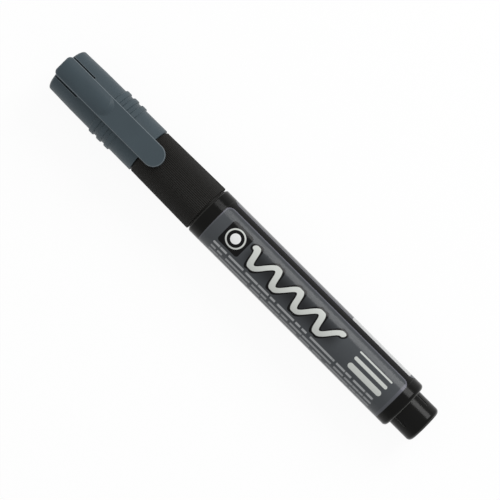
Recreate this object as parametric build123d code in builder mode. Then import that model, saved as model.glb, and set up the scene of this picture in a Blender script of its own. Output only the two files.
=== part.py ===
from build123d import *

import os
from math import atan2, cos, pi, radians, sin, sqrt

# A capped, pump-action paint marker with a bullet nib, in millimetres.
# It lies along X with its nib towards +X and its clip up, towards +Z.
# The origin is on the table, under the middle of its length.
# Stations are measured along the axis from the tail end, radii and heights from the axis.

# Fits shared by all pieces
fit_gap = 0.03
slide_gap = 0.06
cut_overrun = 1.0

# Tail plug: the post that takes the cap, and the spigot that closes the barrel
tail_post_length = 7.65
tail_post_radius = 5.75
tail_end_round = 1.25
tail_end_wall = 1.6
plug_seat_width = 0.85
plug_wall = 1.3
plug_spigot_length = 5.5
plug_barb_height = 0.22
plug_barb_length = 0.9
flute_count = 4
flute_first_angle = 51.5
flute_round = 0.5
flute_depth = 0.3
flute_length = 3.9

# Barrel
barrel_length = 75.36
barrel_radius = 7.5
barrel_wall = 1.0
barrel_end_wall = 1.6
barrel_shoulder_round = 1.1
barrel_mouth_round = 0.55

# Label film, let into the barrel, with a bare gap between its two edges
label_thickness = 0.08
label_rear_margin = 3.53
label_front_margin = 3.87
label_corner_round = 2.0
label_gap_angle = 18.6
label_gap_middle_angle = 52.6

# Grip section: ribbed grip, neck under the cap and spigot in the barrel
groove_width = 0.45
collar_seat = 0.1
grip_length = 21.99
grip_rear_step = 0.03
grip_front_step = 0.16
ridge_count = 88
ridge_depth = 0.17
grip_edge_bevel = 0.25
spigot_length = 8.5
spigot_edge_bevel = 0.4
valve_bore_radius = 4.75
valve_depth = 20.5
valve_shoulder_step = 0.45
neck_length = 8.0
neck_wall = 1.4
neck_edge_bevel = 0.35
neck_bead_height = 0.14
neck_bead_length = 1.0
neck_bead_place = 2.5

# Nib and the nose that holds it
holder_spigot_length = 7.4
holder_step = 0.35
land_length = 4.0
cone_length = 6.0
nose_radius = 3.2
nose_edge_round = 0.3
nib_radius = 2.2
nib_reach = 6.4
nib_bullet_length = 4.6
nib_tip_round = 1.1
nib_travel = 2.2
nib_stop_gap = 0.8

# Valve behind the nib
seat_thickness = 3.0
gasket_thickness = 0.8
front_rod_radius = 1.2
port_gap = 0.5
cage_length = 12.2
cage_wall = 1.3
cage_floor = 1.2
flow_hole_count = 6
flow_hole_margin = 0.05
head_gap = 0.7
head_thickness = 1.6
spring_seat_margin = 0.3
spring_wire_radius = 0.22
spring_turns = 7
rod_spring_gap = 0.4
stem_tail_length = 1.6

# Steel ball that stirs the paint
ball_radius = 3.0
ball_rest_gap = 0.05

# Cap and its liner
cap_rim_gap = 0.4
rim_seat_gap = 0.1
rim_seat_step = 0.85
cap_head_room = 5.61
cap_end_wall = 1.64
cap_rim_wall = 1.4
cap_crown_wall = 1.24
cap_taper_length = 9.0
cap_taper_step = 0.2
cap_dome_depth = 1.2
cap_dome_width = 3.0
cap_rim_round = 0.2
rib_count = 3
rib_first_place = 8.97
rib_pitch = 2.86
rib_width = 1.9
rib_top_width = 1.45
rib_rise = 0.33
rib_top_round = 0.25
rib_foot_round = 0.15
liner_end_wall = 0.9

# Pocket clip on the cap, with a crowned pad over its fixed half
clip_width = 6.5
clip_thickness = 1.5
clip_rib_gap = 0.37
clip_inset = 0.08
clip_reach = 6.07
clip_corner_round = 1.4
clip_end_round = 1.0
clip_edge_round = 0.3
clip_root_length = 8.87
clip_root_drop = 0.9
pad_height = 0.8
pad_margin = 0.3
pad_length = 18.85
pad_nose_slope = 1.6
pad_crease = 0.05
nub_radius = 0.9
nub_height = 0.5
nub_place = 3.3
slit_width = 0.5
slit_floor_wall = 0.5

# Radii worked out from the sizes above
barrel_bore_radius = barrel_radius - barrel_wall
spigot_radius = barrel_bore_radius - fit_gap
collar_radius = barrel_bore_radius + collar_seat
plug_spigot_radius = tail_post_radius - plug_seat_width
plug_core_radius = plug_spigot_radius - plug_wall
valve_radius = valve_bore_radius - fit_gap
port_radius = front_rod_radius + port_gap
cage_bore_radius = valve_radius - cage_wall
head_radius = cage_bore_radius - head_gap
spring_outer_radius = head_radius - spring_seat_margin
spring_radius = spring_outer_radius - spring_wire_radius
rear_rod_radius = spring_radius - spring_wire_radius - rod_spring_gap
nib_chamber_radius = valve_bore_radius - valve_shoulder_step
neck_radius = nib_chamber_radius + neck_wall
land_radius = nib_chamber_radius + holder_step
nib_bore_radius = nib_radius + slide_gap
cap_bore_radius = neck_radius + neck_bead_height + slide_gap
cap_rim_radius = cap_bore_radius + cap_rim_wall
cap_crown_radius = cap_bore_radius + cap_crown_wall
cap_shoulder_radius = cap_crown_radius - cap_taper_step
liner_radius = cap_bore_radius - fit_gap
liner_bore_radius = land_radius + slide_gap
rib_crest_radius = cap_rim_radius + rib_rise
grip_rear_radius = barrel_radius - grip_rear_step
grip_front_radius = cap_rim_radius - grip_front_step
rim_seat_radius = grip_front_radius - rim_seat_step

# Stations along the axis
barrel_rear = tail_post_length
barrel_front = barrel_rear + barrel_length
barrel_floor = barrel_rear + barrel_end_wall
plug_front = barrel_rear + plug_spigot_length
label_rear = barrel_rear + label_rear_margin
label_front = barrel_front - label_front_margin
spigot_rear = barrel_front - spigot_length
grip_rear = barrel_front + groove_width
grip_front = grip_rear + grip_length
neck_front = grip_front + neck_length
valve_shoulder = spigot_rear + valve_depth
seat_rear = valve_shoulder - seat_thickness
gasket_rear = seat_rear - gasket_thickness
head_rear = gasket_rear - head_thickness
cage_rear = gasket_rear - cage_length
cage_seat = cage_rear + cage_floor
nib_rear = valve_shoulder + nib_travel + nib_stop_gap
nose_front = neck_front + land_length + cone_length
nib_tip = nose_front + nib_reach
liner_inside = nib_tip + cap_head_room
cap_inside = liner_inside + liner_end_wall + fit_gap
cap_end = cap_inside + cap_end_wall
cap_rim = grip_front + cap_rim_gap
rim_seat_front = cap_rim - rim_seat_gap
clip_end = cap_end - clip_inset
clip_tip = cap_rim - clip_reach
clip_root_front = cap_end - clip_root_length

# Heights of the clip above the axis
clip_half_width = clip_width / 2
clip_under = rib_crest_radius + clip_rib_gap
clip_top = clip_under + clip_thickness
clip_crown = clip_top + pad_height
clip_root_under = cap_crown_radius - clip_root_drop
pad_half_width = clip_half_width - pad_margin
pad_radius = (pad_half_width**2 + pad_height**2) / (2 * pad_height)
pad_nose_centre = clip_end - pad_length + pad_half_width

# The marker lies on the largest of its round pieces
lie_height = max(rib_crest_radius, barrel_radius, grip_rear_radius)
tail_x = -cap_end / 2
tail_point = (tail_x, 0, lie_height)
marker_axis = Axis(tail_point, (1, 0, 0))


def axial_plane(angle):
    """The plane through the axis whose upward direction is turned by angle from the clip's side."""
    turn = radians(angle)
    return Plane(tail_point, x_dir=(1, 0, 0), z_dir=(0, -cos(turn), -sin(turn)))


def cross_plane(station):
    """The plane square to the axis at a station, its first direction towards the clip's side."""
    return Plane((tail_x + station, 0, lie_height), x_dir=(0, 0, 1), z_dir=(1, 0, 0))


def radial_plane(station, angle):
    """The plane through the axis point at a station that faces outwards at an angle."""
    turn = radians(angle)
    return Plane((tail_x + station, 0, lie_height), x_dir=(1, 0, 0), z_dir=(0, -sin(turn), cos(turn)))


def plan_plane(height):
    """The level plane at a height above the axis, measured from the tail end."""
    return Plane((tail_x, 0, lie_height + height))


def axial_face(*points, angle=0):
    """A closed outline of stations and radii, ready to be turned about the axis."""
    with BuildSketch(axial_plane(angle)) as face:
        with BuildLine():
            Polyline(*points, close=True)
        make_face()
    return face.sketch


def tube_face(rear, front, outer, inner=0):
    """The half section of a plain tube or rod."""
    return axial_face((rear, inner), (rear, outer), (front, outer), (front, inner))


def ridged_face(station, crest_radius):
    """The grip's cross section, a ring of fine lengthwise ridges."""
    step = pi / ridge_count
    ring = []
    for index in range(2 * ridge_count):
        radius = crest_radius - ridge_depth * (index % 2)
        ring.append((radius * cos(index * step), radius * sin(index * step)))
    with BuildSketch(cross_plane(station)) as face:
        with BuildLine():
            Polyline(*ring, close=True)
        make_face()
    return face.sketch


def cap_outside(growth):
    """The cap's half section without its ribs, grown all round for what seats on it."""
    with BuildSketch(axial_plane(0)) as face:
        with BuildLine():
            Polyline(
                (cap_end + growth, cap_shoulder_radius - cap_dome_width),
                (cap_end + growth, 0),
                (cap_rim, 0),
                (cap_rim, cap_rim_radius + growth),
                (cap_end - cap_taper_length, cap_crown_radius + growth),
                (cap_end - cap_dome_depth, cap_shoulder_radius + growth),
            )
            EllipticalCenterArc(
                (cap_end - cap_dome_depth, cap_shoulder_radius - cap_dome_width),
                cap_dome_depth + growth,
                cap_dome_width + growth,
                0,
                arc_size=90,
            )
        make_face()
    return face.sketch


with BuildPart() as barrel:
    revolve(tube_face(barrel_rear, barrel_front, barrel_radius), axis=marker_axis)
    rims = barrel.edges().filter_by(GeomType.CIRCLE).sort_by(Axis.X)
    fillet(rims[0], barrel_shoulder_round)
    fillet(barrel.edges().filter_by(GeomType.CIRCLE).sort_by(Axis.X)[-1], barrel_mouth_round)
    bore = tube_face(barrel_floor, barrel_front + cut_overrun, barrel_bore_radius)
    revolve(bore, axis=marker_axis, mode=Mode.SUBTRACT)
    plug_hole = tube_face(
        barrel_rear - cut_overrun,
        barrel_floor + cut_overrun,
        plug_spigot_radius + fit_gap,
    )
    revolve(plug_hole, axis=marker_axis, mode=Mode.SUBTRACT)
    label_recess = tube_face(
        label_rear - fit_gap,
        label_front + fit_gap,
        barrel_radius + cut_overrun,
        barrel_radius - label_thickness,
    )
    revolve(label_recess, axis=marker_axis, mode=Mode.SUBTRACT)

with BuildPart() as label:
    film = axial_face(
        (label_rear, barrel_radius - label_thickness),
        (label_rear, barrel_radius),
        (label_front, barrel_radius),
        (label_front, barrel_radius - label_thickness),
        angle=label_gap_middle_angle + label_gap_angle / 2,
    )
    revolve(film, axis=marker_axis, revolution_arc=360 - label_gap_angle)
    corner_size = label_corner_round + cut_overrun
    corner_middle = (label_corner_round - cut_overrun) / 2
    for station, inward_x in ((label_rear, 1), (label_front, -1)):
        for inward_y in (-1, 1):
            edge_angle = label_gap_middle_angle - inward_y * label_gap_angle / 2
            with BuildSketch(radial_plane(station, edge_angle)):
                with Locations((inward_x * corner_middle, inward_y * corner_middle)):
                    Rectangle(corner_size, corner_size)
                with Locations((inward_x * label_corner_round, inward_y * label_corner_round)):
                    Circle(label_corner_round, mode=Mode.SUBTRACT)
            extrude(amount=barrel_radius + cut_overrun, mode=Mode.SUBTRACT)

with BuildPart() as tail_plug:
    barb_rear = barrel_floor + fit_gap
    profile = axial_face(
        (0, 0),
        (0, tail_post_radius),
        (barrel_rear, tail_post_radius),
        (barrel_rear, plug_spigot_radius),
        (barb_rear, plug_spigot_radius),
        (barb_rear, plug_spigot_radius + plug_barb_height),
        (barb_rear + plug_barb_length, plug_spigot_radius),
        (plug_front, plug_spigot_radius),
        (plug_front, plug_core_radius),
        (tail_end_wall, plug_core_radius),
        (tail_end_wall, 0),
    )
    revolve(profile, axis=marker_axis)
    fillet(tail_plug.edges().filter_by(GeomType.CIRCLE).sort_by(Axis.X)[0], tail_end_round)
    flute_middle = tail_post_radius - flute_depth + flute_round
    with BuildSketch(cross_plane(tail_post_length - flute_length)):
        with PolarLocations(flute_middle, flute_count, start_angle=flute_first_angle):
            Circle(flute_round)
    extrude(amount=flute_length + cut_overrun, mode=Mode.SUBTRACT)

with BuildPart() as grip_section:
    loft([ridged_face(grip_rear, grip_rear_radius), ridged_face(grip_front, grip_front_radius)], ruled=True)
    rear_bevel = axial_face(
        (grip_rear, grip_rear_radius - grip_edge_bevel),
        (grip_rear + grip_edge_bevel + cut_overrun, grip_rear_radius + cut_overrun),
        (grip_rear, grip_rear_radius + cut_overrun),
    )
    front_bevel = axial_face(
        (grip_front, grip_front_radius - grip_edge_bevel),
        (grip_front - grip_edge_bevel - cut_overrun, grip_front_radius + cut_overrun),
        (grip_front, grip_front_radius + cut_overrun),
    )
    revolve([rear_bevel, front_bevel], axis=marker_axis, mode=Mode.SUBTRACT)
    bead_rear = grip_front + neck_bead_place
    bead_front = bead_rear + neck_bead_length
    with BuildSketch(axial_plane(0)) as core:
        with BuildLine():
            Polyline(
                (bead_rear, neck_radius),
                (rim_seat_front, neck_radius),
                (rim_seat_front, rim_seat_radius),
                (grip_rear, rim_seat_radius),
                (grip_rear, collar_radius),
                (barrel_front, collar_radius),
                (barrel_front, spigot_radius),
                (spigot_rear + spigot_edge_bevel, spigot_radius),
                (spigot_rear, spigot_radius - spigot_edge_bevel),
                (spigot_rear, 0),
                (neck_front, 0),
                (neck_front, neck_radius - neck_edge_bevel),
                (neck_front - neck_edge_bevel, neck_radius),
                (bead_front, neck_radius),
            )
            bead_crest = ((bead_rear + bead_front) / 2, neck_radius + neck_bead_height)
            ThreePointArc((bead_front, neck_radius), bead_crest, (bead_rear, neck_radius))
        make_face()
    revolve(axis=marker_axis)
    valve_bore = tube_face(spigot_rear - cut_overrun, valve_shoulder, valve_bore_radius)
    nib_chamber = tube_face(valve_shoulder - cut_overrun, neck_front + cut_overrun, nib_chamber_radius)
    revolve([valve_bore, nib_chamber], axis=marker_axis, mode=Mode.SUBTRACT)

with BuildPart() as nib_holder:
    profile = axial_face(
        (neck_front - holder_spigot_length, nib_bore_radius),
        (neck_front - holder_spigot_length, nib_chamber_radius - fit_gap),
        (neck_front, nib_chamber_radius - fit_gap),
        (neck_front, land_radius),
        (neck_front + land_length, land_radius),
        (nose_front, nose_radius),
        (nose_front, nib_bore_radius),
    )
    revolve(profile, axis=marker_axis)
    nose_rims = nib_holder.edges().filter_by(GeomType.CIRCLE).sort_by(Axis.X)[-2:]
    fillet(nose_rims.sort_by(SortBy.RADIUS)[-1], nose_edge_round)

# The bullet is a long arc that runs on from the nib's side, and a round tip tangent to it
with BuildPart() as nib:
    bullet_rear = nib_tip - nib_bullet_length
    tip_centre = nib_tip - nib_tip_round
    taper_length = nib_bullet_length - nib_tip_round
    taper_drop = nib_radius - nib_tip_round
    taper_radius = (taper_length**2 + nib_radius**2 - nib_tip_round**2) / (2 * taper_drop)
    tip_turn = atan2(taper_radius - nib_radius, taper_length)
    tip_join = (tip_centre + nib_tip_round * cos(tip_turn), nib_tip_round * sin(tip_turn))
    with BuildSketch(axial_plane(0)):
        with BuildLine():
            Polyline((nib_tip, 0), (nib_rear, 0), (nib_rear, nib_radius), (bullet_rear, nib_radius))
            TangentArc((bullet_rear, nib_radius), tip_join, tangent=(1, 0))
            TangentArc(tip_join, (nib_tip, 0), tangent=(sin(tip_turn), -cos(tip_turn)))
        make_face()
    revolve(axis=marker_axis)

with BuildPart() as valve_seat:
    revolve(tube_face(seat_rear, valve_shoulder, valve_radius, port_radius), axis=marker_axis)

with BuildPart() as valve_gasket:
    revolve(tube_face(gasket_rear, seat_rear, valve_radius, port_radius), axis=marker_axis)

with BuildPart() as spring_cage:
    wall = tube_face(cage_rear, gasket_rear, valve_radius, cage_bore_radius)
    floor = tube_face(cage_rear, cage_seat, valve_radius, rear_rod_radius + slide_gap)
    revolve([wall, floor], axis=marker_axis)
    flow_hole_radius = (cage_bore_radius - spring_outer_radius) / 2 - flow_hole_margin
    with BuildSketch(cross_plane(cage_rear - cut_overrun)):
        with PolarLocations((cage_bore_radius + spring_outer_radius) / 2, flow_hole_count):
            Circle(flow_hole_radius)
    extrude(amount=cage_floor + 2 * cut_overrun, mode=Mode.SUBTRACT)

with BuildPart() as valve_stem:
    profile = axial_face(
        (cage_rear - stem_tail_length, 0),
        (cage_rear - stem_tail_length, rear_rod_radius),
        (head_rear, rear_rod_radius),
        (head_rear, head_radius),
        (gasket_rear, head_radius),
        (gasket_rear, front_rod_radius),
        (nib_rear, front_rod_radius),
        (nib_rear, 0),
    )
    revolve(profile, axis=marker_axis)

# The spring's wire follows a helix, in pairs of tangent arcs for each quarter turn
spring_rear = cage_seat + spring_wire_radius + fit_gap
spring_front = head_rear - spring_wire_radius - fit_gap
spring_pitch = (spring_front - spring_rear) / spring_turns


def spring_point(turn):
    """The middle of the spring's wire after a number of turns."""
    across = spring_radius * cos(2 * pi * turn)
    up = spring_radius * sin(2 * pi * turn)
    return Vector(tail_x + spring_rear + spring_pitch * turn, across, lie_height + up)


def spring_heading(turn):
    """The direction of the spring's wire after a number of turns."""
    around = 2 * pi * spring_radius
    return Vector(spring_pitch, -around * sin(2 * pi * turn), around * cos(2 * pi * turn)).normalized()


def spring_self_gap():
    """The least gap between turns of the wire, measured on points a part of a turn apart."""
    steps_each_turn = 24
    count = spring_turns * steps_each_turn
    points = [spring_point(index / steps_each_turn) for index in range(count + 1)]
    least = min(
        (points[first] - points[second]).length
        for first in range(count + 1)
        for second in range(first + steps_each_turn // 2, count + 1)
    )
    return least - 2 * spring_wire_radius


with BuildPart() as valve_spring:
    with BuildLine() as wire:
        for quarter in range(4 * spring_turns):
            start = spring_point(quarter / 4)
            end = spring_point((quarter + 1) / 4)
            start_heading = spring_heading(quarter / 4)
            end_heading = spring_heading((quarter + 1) / 4)
            chord = end - start
            along = chord.dot(start_heading + end_heading)
            bend = 2 * (1 - start_heading.dot(end_heading))
            reach = (sqrt(along**2 + bend * chord.dot(chord)) - along) / bend
            first_knee = start + start_heading * reach
            second_knee = end - end_heading * reach
            joint = (first_knee + second_knee) / 2
            TangentArc(start, joint, tangent=start_heading)
            TangentArc(joint, end, tangent=(second_knee - first_knee).normalized())
    with BuildSketch(Plane(wire.line @ 0, z_dir=wire.line % 0)):
        Circle(spring_wire_radius)
    sweep(path=wire.line)
print(f"valve_spring least gap to itself: {spring_self_gap():.3f} mm")

with BuildPart() as mixing_ball:
    ball_height = ball_radius + ball_rest_gap - barrel_bore_radius
    with Locations((tail_x + (plug_front + spigot_rear) / 2, 0, lie_height + ball_height)):
        Sphere(ball_radius)

with BuildPart() as slit_cutter:
    slit_outer = clip_half_width + slit_width
    slit_length = clip_root_length + cut_overrun
    with BuildSketch(plan_plane(0)):
        for side in (-1, 1):
            with Locations((clip_root_front + slit_length / 2, side * (clip_half_width + slit_outer) / 2)):
                Rectangle(slit_length, slit_width)
    extrude(amount=cap_rim_radius)
    slit_floor = tube_face(cap_rim, cap_end + cut_overrun, cap_bore_radius + slit_floor_wall)
    revolve(slit_floor, axis=marker_axis, mode=Mode.SUBTRACT)

with BuildPart() as cap_shell:
    revolve(cap_outside(0), axis=marker_axis)
    bore = tube_face(cap_rim - cut_overrun, cap_inside, cap_bore_radius)
    revolve(bore, axis=marker_axis, mode=Mode.SUBTRACT)
    fillet(cap_shell.edges().filter_by(GeomType.CIRCLE).sort_by(Axis.X)[:2], cap_rim_round)
    with BuildSketch(axial_plane(0)) as ribs:
        for index in range(rib_count):
            middle = cap_rim + rib_first_place + index * rib_pitch
            with BuildLine():
                Polyline(
                    (middle - rib_width / 2, cap_crown_radius),
                    (middle - rib_top_width / 2, rib_crest_radius),
                    (middle + rib_top_width / 2, rib_crest_radius),
                    (middle + rib_width / 2, cap_crown_radius),
                    close=True,
                )
            make_face()
        fillet(ribs.vertices().group_by(Axis.Y)[-1], rib_top_round)
    revolve(axis=marker_axis)
    ribs_middle = cap_rim + rib_first_place + (rib_count - 1) * rib_pitch / 2
    ribs_reach = (rib_count - 1) * rib_pitch / 2 + rib_width / 2
    rib_feet = cap_shell.edges().filter_by(GeomType.CIRCLE).filter_by_position(
        Axis.X, tail_x + ribs_middle - ribs_reach, tail_x + ribs_middle + ribs_reach
    )
    fillet(rib_feet.filter_by(lambda edge: edge.radius < cap_rim_radius), rib_foot_round)
    add(slit_cutter.part, mode=Mode.SUBTRACT)

with BuildPart() as inner_cap:
    cup = tube_face(neck_front, liner_inside + liner_end_wall, liner_radius)
    revolve(cup, axis=marker_axis)
    inside = tube_face(neck_front - cut_overrun, liner_inside, liner_bore_radius)
    revolve(inside, axis=marker_axis, mode=Mode.SUBTRACT)

# The whole clip, which is then parted into its fixed root and its springy arm
with BuildPart() as clip_pad:
    nose_height = pad_height + pad_crease
    nose_end = pad_nose_centre - pad_half_width
    nose = axial_face(
        (nose_end, clip_top),
        (nose_end + pad_nose_slope, clip_top + nose_height),
        (pad_nose_centre, clip_top + nose_height),
        (pad_nose_centre, clip_top),
    )
    revolve(nose, axis=Axis((tail_x + pad_nose_centre, 0, 0), (0, 0, 1)))
    pad_span = clip_end - pad_margin - pad_nose_centre
    with BuildSketch(plan_plane(clip_top)) as pad_plan:
        with Locations((pad_nose_centre + pad_span / 2, 0)):
            Rectangle(pad_span, 2 * pad_half_width)
        fillet(pad_plan.vertices().sort_by(Axis.X)[-2:], clip_corner_round)
    extrude(amount=nose_height)
    with BuildSketch(cross_plane(nose_end - cut_overrun)):
        with Locations((clip_crown - pad_radius, 0)):
            Circle(pad_radius)
    extrude(amount=pad_length + 2 * cut_overrun, mode=Mode.INTERSECT)

with BuildPart() as root_block:
    root_span = clip_end - clip_root_front
    with BuildSketch(plan_plane(clip_root_under)) as root_plan:
        with Locations((clip_root_front + root_span / 2, 0)):
            Rectangle(root_span, clip_width)
        fillet(root_plan.vertices().sort_by(Axis.X)[-2:], clip_corner_round)
    extrude(amount=clip_under - clip_root_under)

with BuildPart() as clip:
    clip_tip_centre = clip_tip + clip_half_width
    with BuildSketch(plan_plane(clip_under)) as plate_plan:
        with Locations((clip_tip_centre, 0)):
            Circle(clip_half_width)
        with Locations(((clip_tip_centre + clip_end) / 2, 0)):
            Rectangle(clip_end - clip_tip_centre, clip_width)
        fillet(plate_plan.vertices().sort_by(Axis.X)[-2:], clip_corner_round)
    extrude(amount=clip_thickness)
    fillet(clip.faces().sort_by(Axis.Z)[-1].edges(), clip_edge_round)
    add(clip_pad.part)
    add(root_block.part)
    with Locations((tail_x + clip_tip + nub_place, 0, lie_height + clip_under - nub_height + nub_radius)):
        Sphere(nub_radius)
    with BuildSketch(axial_plane(0)):
        corner = (clip_end - clip_end_round, clip_crown - clip_end_round)
        with Locations(corner):
            Rectangle(clip_width, clip_width, align=(Align.MIN, Align.MIN))
            Circle(clip_end_round, mode=Mode.SUBTRACT)
    extrude(amount=clip_width, both=True, mode=Mode.SUBTRACT)
    revolve(cap_outside(fit_gap), axis=marker_axis, mode=Mode.SUBTRACT)

with BuildPart() as clip_root:
    add(clip.part)
    split(bisect_by=cross_plane(clip_root_front), keep=Keep.TOP)

with BuildPart() as clip_arm:
    add(clip.part)
    split(bisect_by=cross_plane(clip_root_front), keep=Keep.BOTTOM)

pieces = {
    "barrel": barrel,
    "label": label,
    "tail_plug": tail_plug,
    "grip_section": grip_section,
    "nib_holder": nib_holder,
    "nib": nib,
    "valve_seat": valve_seat,
    "valve_gasket": valve_gasket,
    "spring_cage": spring_cage,
    "valve_stem": valve_stem,
    "valve_spring": valve_spring,
    "mixing_ball": mixing_ball,
    "cap_shell": cap_shell,
    "inner_cap": inner_cap,
    "clip_root": clip_root,
    "clip_arm": clip_arm,
}

os.makedirs("parts", exist_ok=True)
for name, piece in pieces.items():
    piece.part.label = name
    export_step(piece.part, f"parts/{name}.step")
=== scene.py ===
"""Looks of a capped paint marker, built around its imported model.

Everything is in metres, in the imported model's frame: the marker lies along X with its nib
towards +X and its clip up. Stations are measured along the axis from the tail end.
"""

import logging
import math
from dataclasses import dataclass
from enum import Enum
from typing import Callable, ClassVar, Sequence, Union

import bmesh
import bpy
from mathutils import Matrix, Vector


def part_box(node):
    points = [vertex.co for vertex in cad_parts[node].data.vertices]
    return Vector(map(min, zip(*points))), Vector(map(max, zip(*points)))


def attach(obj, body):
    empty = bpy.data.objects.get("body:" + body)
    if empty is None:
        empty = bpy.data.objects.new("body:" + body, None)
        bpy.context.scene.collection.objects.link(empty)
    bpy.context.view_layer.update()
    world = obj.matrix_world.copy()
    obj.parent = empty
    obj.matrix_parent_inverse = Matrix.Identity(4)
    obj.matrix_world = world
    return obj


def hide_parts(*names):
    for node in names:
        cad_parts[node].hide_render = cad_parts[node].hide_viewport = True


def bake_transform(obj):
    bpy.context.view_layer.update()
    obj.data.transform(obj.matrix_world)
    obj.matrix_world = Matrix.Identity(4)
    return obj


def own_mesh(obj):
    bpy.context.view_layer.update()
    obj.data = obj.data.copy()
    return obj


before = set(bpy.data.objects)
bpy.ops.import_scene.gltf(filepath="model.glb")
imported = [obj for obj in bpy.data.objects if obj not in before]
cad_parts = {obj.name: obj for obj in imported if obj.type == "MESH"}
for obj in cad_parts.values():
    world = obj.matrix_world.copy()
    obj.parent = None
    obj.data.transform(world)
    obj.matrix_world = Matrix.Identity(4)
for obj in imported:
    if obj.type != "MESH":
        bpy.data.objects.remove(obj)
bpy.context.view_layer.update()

LOG = logging.getLogger("paint_marker")

MM = 0.001
# Mask of the clip's pale rims, partly wear and partly painted highlight.
RIM_WEAR_AND_GLINT = "rim_wear_and_glint"
TAIL_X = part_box("tail_plug")[0].x
AXIS_Z = (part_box("barrel")[0].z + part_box("barrel")[1].z) / 2

SCREEN_TOP = 255
SCREEN_KNEE = 0.04045
SCREEN_SLOPE = 12.92
SCREEN_OFFSET = 0.055
SCREEN_POWER = 2.4

Socket = bpy.types.NodeSocket
Value = Union[float, Sequence[float], Socket]
Colour = tuple[float, float, float, float]
Ring = tuple[float, float]

PURE_WHITE: Colour = (1.0, 1.0, 1.0, 1.0)


def linear(level: int) -> float:
    """Turns one channel of a screen colour into the linear value that a shader takes.

    Args:
        level: The screen value, from 0 to 255.

    Returns:
        The linear value, from 0 to 1.
    """
    share = level / SCREEN_TOP
    if share <= SCREEN_KNEE:
        return share / SCREEN_SLOPE
    return ((share + SCREEN_OFFSET) / (1 + SCREEN_OFFSET)) ** SCREEN_POWER


def srgb(red: int, green: int, blue: int) -> Colour:
    """Gives the linear, opaque colour of a colour as a screen shows it, from 0 to 255."""
    return linear(red), linear(green), linear(blue), 1.0


@dataclass(frozen=True)
class Speckle:
    """A soft noise: its larger blobs' width, its finer layers and their strength, and its stretch."""

    size: float
    detail: float = 2.0
    roughness: float = 0.5
    stretch: tuple[float, float, float] | None = None


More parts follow.
